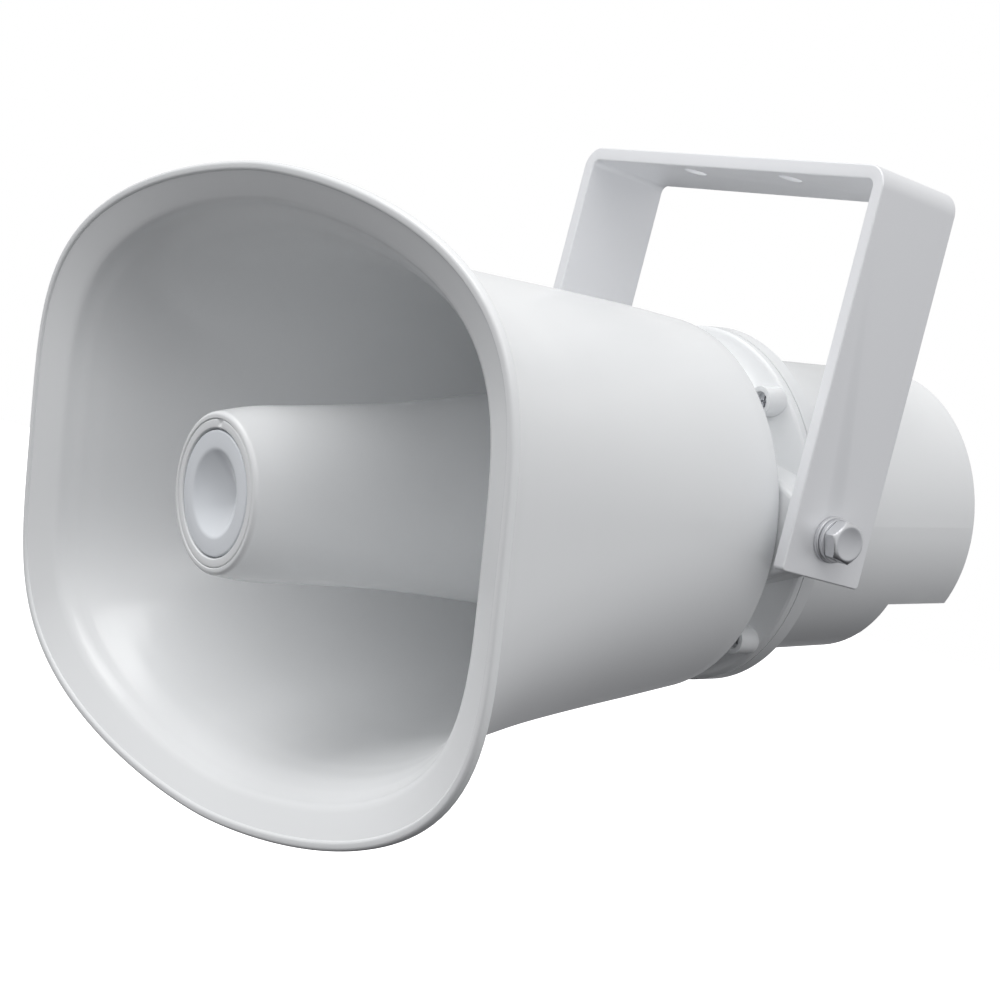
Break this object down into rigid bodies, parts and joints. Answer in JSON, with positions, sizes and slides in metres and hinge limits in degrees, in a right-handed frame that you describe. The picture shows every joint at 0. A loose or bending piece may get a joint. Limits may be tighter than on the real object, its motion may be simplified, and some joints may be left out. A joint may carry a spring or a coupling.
{
  "type": "re-entrant horn loudspeaker",
  "caption": "White oblong horn loudspeaker with a central reflector, a driver housing behind it and a U bracket it tilts in.",
  "frame": {"origin": "middle of the outer face of the bracket's crossbar", "axes": "+Z out of the crossbar's outer face, +X along the crossbar, the horn's mouth towards -Y"},
  "size_m": [0.3002, 0.3078, 0.2643],
  "materials": {
    "horn_plastic": "glossy moulded white",
    "dish_plastic": "glossy moulded cool white",
    "bracket_coat": "satin white powder coat",
    "stainless": "bright stainless steel",
    "zinc_steel": "zinc plated steel",
    "insert_brass": "turned brass",
    "seal_rubber": "matte black rubber",
    "cast_aluminium": "die-cast",
    "ferrite": "sintered dark grey ceramic",
    "voice_film": "thin phenolic film",
    "copper": "enamelled copper",
    "grey_nylon": "moulded light grey nylon",
    "board_laminate": "phenolic paper laminate",
    "lamination": "varnished steel laminations",
    "winding_tape": "polyester tape over copper",
    "plug_plastic": "moulded black"
  },
  "bodies": {
    "bracket": {"bracket": "bracket_coat"},
    "horn": {"back_plate": "horn_plastic", "bell_screws": "zinc_steel", "board_screws": "zinc_steel", "clamp_ring": "cast_aluminium", "dish_insert": "dish_plastic", "driver_screws": "zinc_steel", "flange_inserts": "insert_brass", "flat_washers": "stainless", "gland_body": "grey_nylon", "gland_locknut": "grey_nylon", "gland_nut": "grey_nylon", "gland_seals": "seal_rubber", "horn_bell": "horn_plastic", "housing_gasket": "seal_rubber", "housing_screws": "stainless", "lug_inserts": "insert_brass", "magnet": "ferrite", "nose_ring": "horn_plastic", "nose_screw": "stainless", "phase_plug": "plug_plastic", "pivot_bolts": "stainless", "pole_piece": "zinc_steel", "rear_housing": "horn_plastic", "reflector": "horn_plastic", "spring_washers": "stainless", "surround": "voice_film", "terminal_block": "grey_nylon", "terminal_board": "board_laminate", "throat_gasket": "seal_rubber", "throat_plate": "cast_aluminium", "throat_screws": "zinc_steel", "throat_tube": "plug_plastic", "top_plate": "zinc_steel", "transformer_core": "lamination", "transformer_screws": "zinc_steel", "transformer_winding": "winding_tape"},
    "diaphragm": {"diaphragm": "voice_film", "voice_coil": "copper"}
  },
  "joints": [
    {"name": "horn_tilt", "type": "hinge", "parent": "bracket", "child": "horn", "pos_m": [0, 0, -0.1252], "axis": [1, 0, 0], "range_deg": [-50, 205]},
    {"name": "diaphragm_travel", "type": "slide", "parent": "horn", "child": "diaphragm", "axis": [0, 0.982, 0.1891], "range_m": [-0.0004, 0.0004], "stiffness_N_per_m": 8000}
  ]
}
